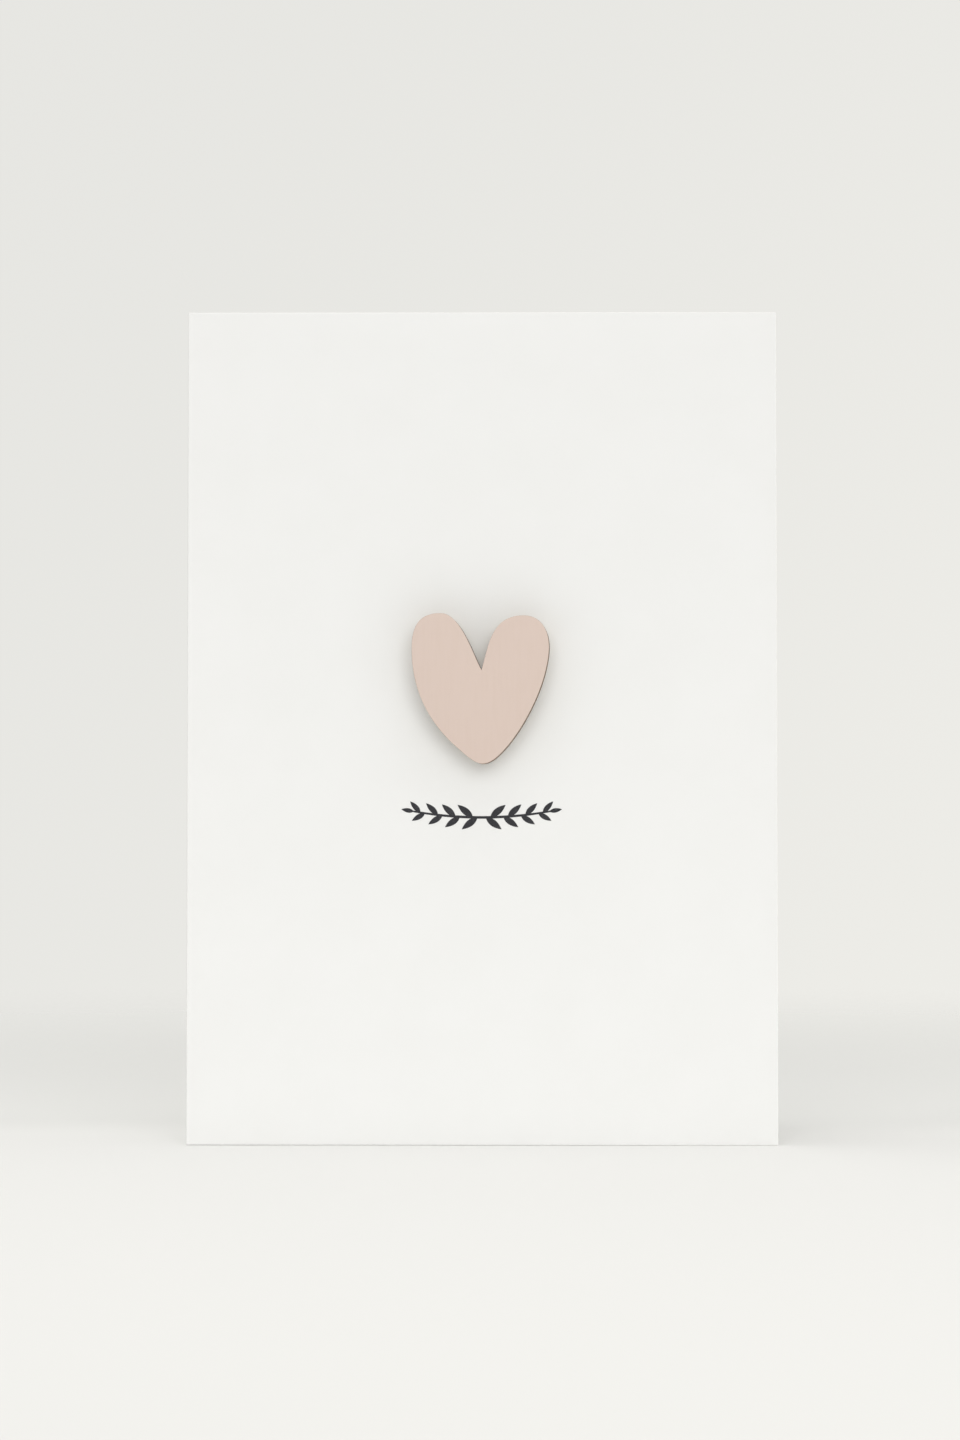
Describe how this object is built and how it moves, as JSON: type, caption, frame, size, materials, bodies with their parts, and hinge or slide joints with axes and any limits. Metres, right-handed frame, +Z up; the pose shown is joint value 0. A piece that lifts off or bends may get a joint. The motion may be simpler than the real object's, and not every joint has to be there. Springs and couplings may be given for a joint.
{
  "type": "greeting card",
  "caption": "Upright folded greeting card that opens at its left fold, with a raised wooden heart on foam pads and a printed leafy sprig on the front.",
  "frame": {"origin": "on the ground, under the centre of the standing card's box, which runs from the heart's face to the back leaf's free edge", "axes": "+Z up along the fold, the front faces -Y, the fold is on the -X side and the free edges are on the +X side"},
  "size_m": [0.105, 0.051, 0.148],
  "materials": {
    "card_stock": "uncoated, matte, about 350 gsm",
    "blush_painted_wood": "matte paint on the face, browned laser-cut edge",
    "white_foam": "closed-cell foam with adhesive faces",
    "dark_ink": "matte print soaked into the card"
  },
  "bodies": {
    "front": {"front_leaf": "card_stock", "fold_crease": "card_stock", "heart": "blush_painted_wood", "foam_pad_left": "white_foam", "foam_pad_right": "white_foam", "foam_pad_tip": "white_foam", "printed_sprig": "dark_ink"},
    "back": {"back_leaf": "card_stock"}
  },
  "joints": [
    {"name": "fold", "type": "hinge", "parent": "front", "child": "back", "pos_m": [-0.0521, -0.01908, 0.074], "axis": [0, 0, 1], "range_deg": [-24, 155], "deforming": ["fold_crease"]}
  ]
}
